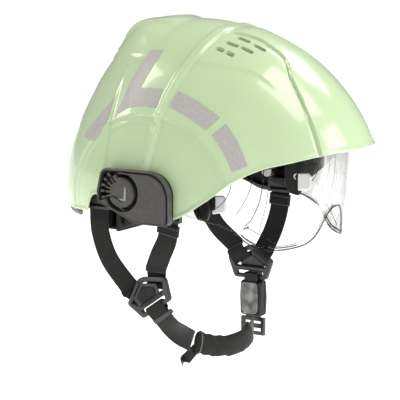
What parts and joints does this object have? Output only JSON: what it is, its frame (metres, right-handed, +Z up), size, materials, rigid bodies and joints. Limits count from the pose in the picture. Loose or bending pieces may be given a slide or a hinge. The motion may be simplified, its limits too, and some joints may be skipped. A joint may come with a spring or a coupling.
{
  "type": "forestry helmet",
  "caption": "Safety helmet with a clear flip-down visor, side dials, ratchet headband, reflective patches and a buckled chin harness.",
  "frame": {"origin": "centre of the headband's opening at its mid height, where the head sits", "axes": "+X to the front peak, +Y to the wearer's left, +Z up through the crown"},
  "size_m": [0.3064, 0.244, 0.3271],
  "materials": {
    "shell": "gloss",
    "trim": "matt",
    "liner": "beaded foam",
    "padding": "knitted mesh over foam",
    "webbing": "woven ribs",
    "steel": "satin",
    "lens": "clear",
    "arm": "translucent grey",
    "reflector": "fine beaded sheet",
    "gloss_black": "gloss",
    "plastic": "fine spark texture"
  },
  "bodies": {
    "helmet": {"outer_shell": "shell", "rear_edge_trim": "trim", "impact_liner": "liner", "crown_pad": "padding", "crown_straps": "webbing", "strap_clips": "plastic", "headband": "plastic", "brow_pad": "padding", "side_hangers": "plastic", "nape_cradle": "plastic", "nape_pad": "padding", "ratchet_cover": "plastic", "ratchet_screw": "steel", "visor_pivots": "steel", "module_bezel_right": "plastic", "module_bezel_left": "plastic", "module_cover_right": "plastic", "module_cover_left": "plastic", "dial_screws": "steel", "reflectors_right": "reflector", "reflectors_left": "reflector", "front_anchors": "plastic", "rear_anchors": "plastic", "front_webbing_right": "webbing", "rear_webbing_right": "webbing", "front_webbing_left": "webbing", "rear_webbing_left": "webbing", "divider_right": "plastic", "divider_left": "plastic", "divider_locks": "plastic", "buckle_body": "plastic", "buckle_plate": "gloss_black", "button_spring": "steel"},
    "visor": {"visor_lens": "lens", "visor_arm_right": "arm", "visor_arm_left": "arm", "lens_bracket_right": "plastic", "lens_bracket_left": "plastic"},
    "right_dial": {"side_dial_right": "plastic"},
    "left_dial": {"side_dial_left": "plastic"},
    "nape_wheel": {"ratchet_wheel": "plastic"},
    "right_tail": {"band_tail_right": "plastic"},
    "left_tail": {"band_tail_left": "plastic"},
    "chin_strap": {"chin_webbing": "webbing", "chin_pad": "padding", "lower_ladder": "plastic", "buckle_tongue": "plastic"},
    "release_button": {"buckle_button": "gloss_black"}
  },
  "joints": [
    {"name": "visor_tilt", "type": "hinge", "parent": "helmet", "child": "visor", "pos_m": [0.02, 0, 0.008], "axis": [0, -1, 0], "range_deg": [0, 42]},
    {"name": "right_dial_turn", "type": "hinge", "parent": "helmet", "child": "right_dial", "pos_m": [-0.0102, -0.118, 0.0132], "axis": [0, -1, 0], "range_deg": [0, 80]},
    {"name": "left_dial_turn", "type": "hinge", "parent": "helmet", "child": "left_dial", "pos_m": [-0.0102, 0.118, 0.0132], "axis": [0, 1, 0], "range_deg": [-80, 0]},
    {"name": "nape_wheel_turn", "type": "hinge", "parent": "helmet", "child": "nape_wheel", "pos_m": [-0.082, 0, -0.032], "axis": [1, 0, 0], "range_deg": [-80, 80]},
    {"name": "right_tail_slide", "type": "slide", "parent": "helmet", "child": "right_tail", "axis": [0, 1, 0], "range_m": [-0.0072, 0.0072]},
    {"name": "left_tail_slide", "type": "slide", "parent": "helmet", "child": "left_tail", "axis": [0, 1, 0], "range_m": [-0.0072, 0.0072]},
    {"name": "chin_strap_swing", "type": "hinge", "parent": "helmet", "child": "chin_strap", "pos_m": [0.012, -0.092, -0.1], "axis": [1, 0, 0], "range_deg": [-55, 0]},
    {"name": "button_press", "type": "slide", "parent": "helmet", "child": "release_button", "axis": [0, -1, 0], "range_m": [0, 0.002], "stiffness_N_per_m": 400, "springref_m": -0.0005, "deforming": ["button_spring"]}
  ],
  "couplings": [
    {"joint": "right_tail_slide", "follows": "nape_wheel_turn", "m_per_rad": 0.005},
    {"joint": "left_tail_slide", "follows": "nape_wheel_turn", "m_per_rad": -0.005}
  ]
}
